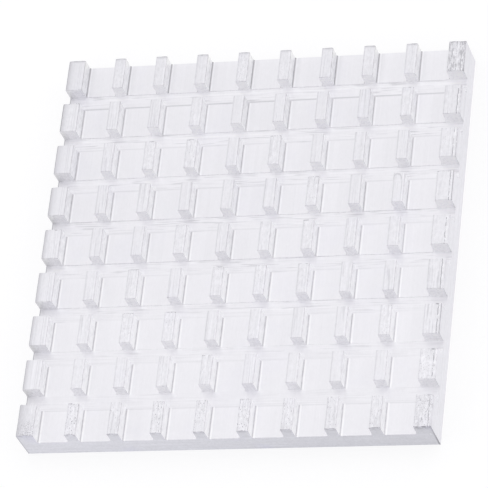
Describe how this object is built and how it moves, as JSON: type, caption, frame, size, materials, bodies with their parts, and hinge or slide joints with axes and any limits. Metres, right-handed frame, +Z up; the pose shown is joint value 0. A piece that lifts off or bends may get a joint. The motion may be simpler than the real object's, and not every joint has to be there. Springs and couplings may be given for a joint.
{
  "type": "pin fin heat sink",
  "caption": "Flat square plate with a grid of short oblong pins on top. It spreads heat from a component under it and gives it up to the air that flows between the pins.",
  "frame": {"origin": "middle of the flat seating face, under the plate", "axes": "+Z up, from the seating face to the pin tips; +Y along the fins as extruded, towards the back; +X across the fins, to the right"},
  "size_m": [0.05, 0.0508, 0.0049],
  "materials": {
    "aluminium": "bright mill finish with faint extrusion lines along the fins and saw marks across the cuts"
  },
  "bodies": {
    "root": {"heat_sink": "aluminium"}
  },
  "joints": []
}
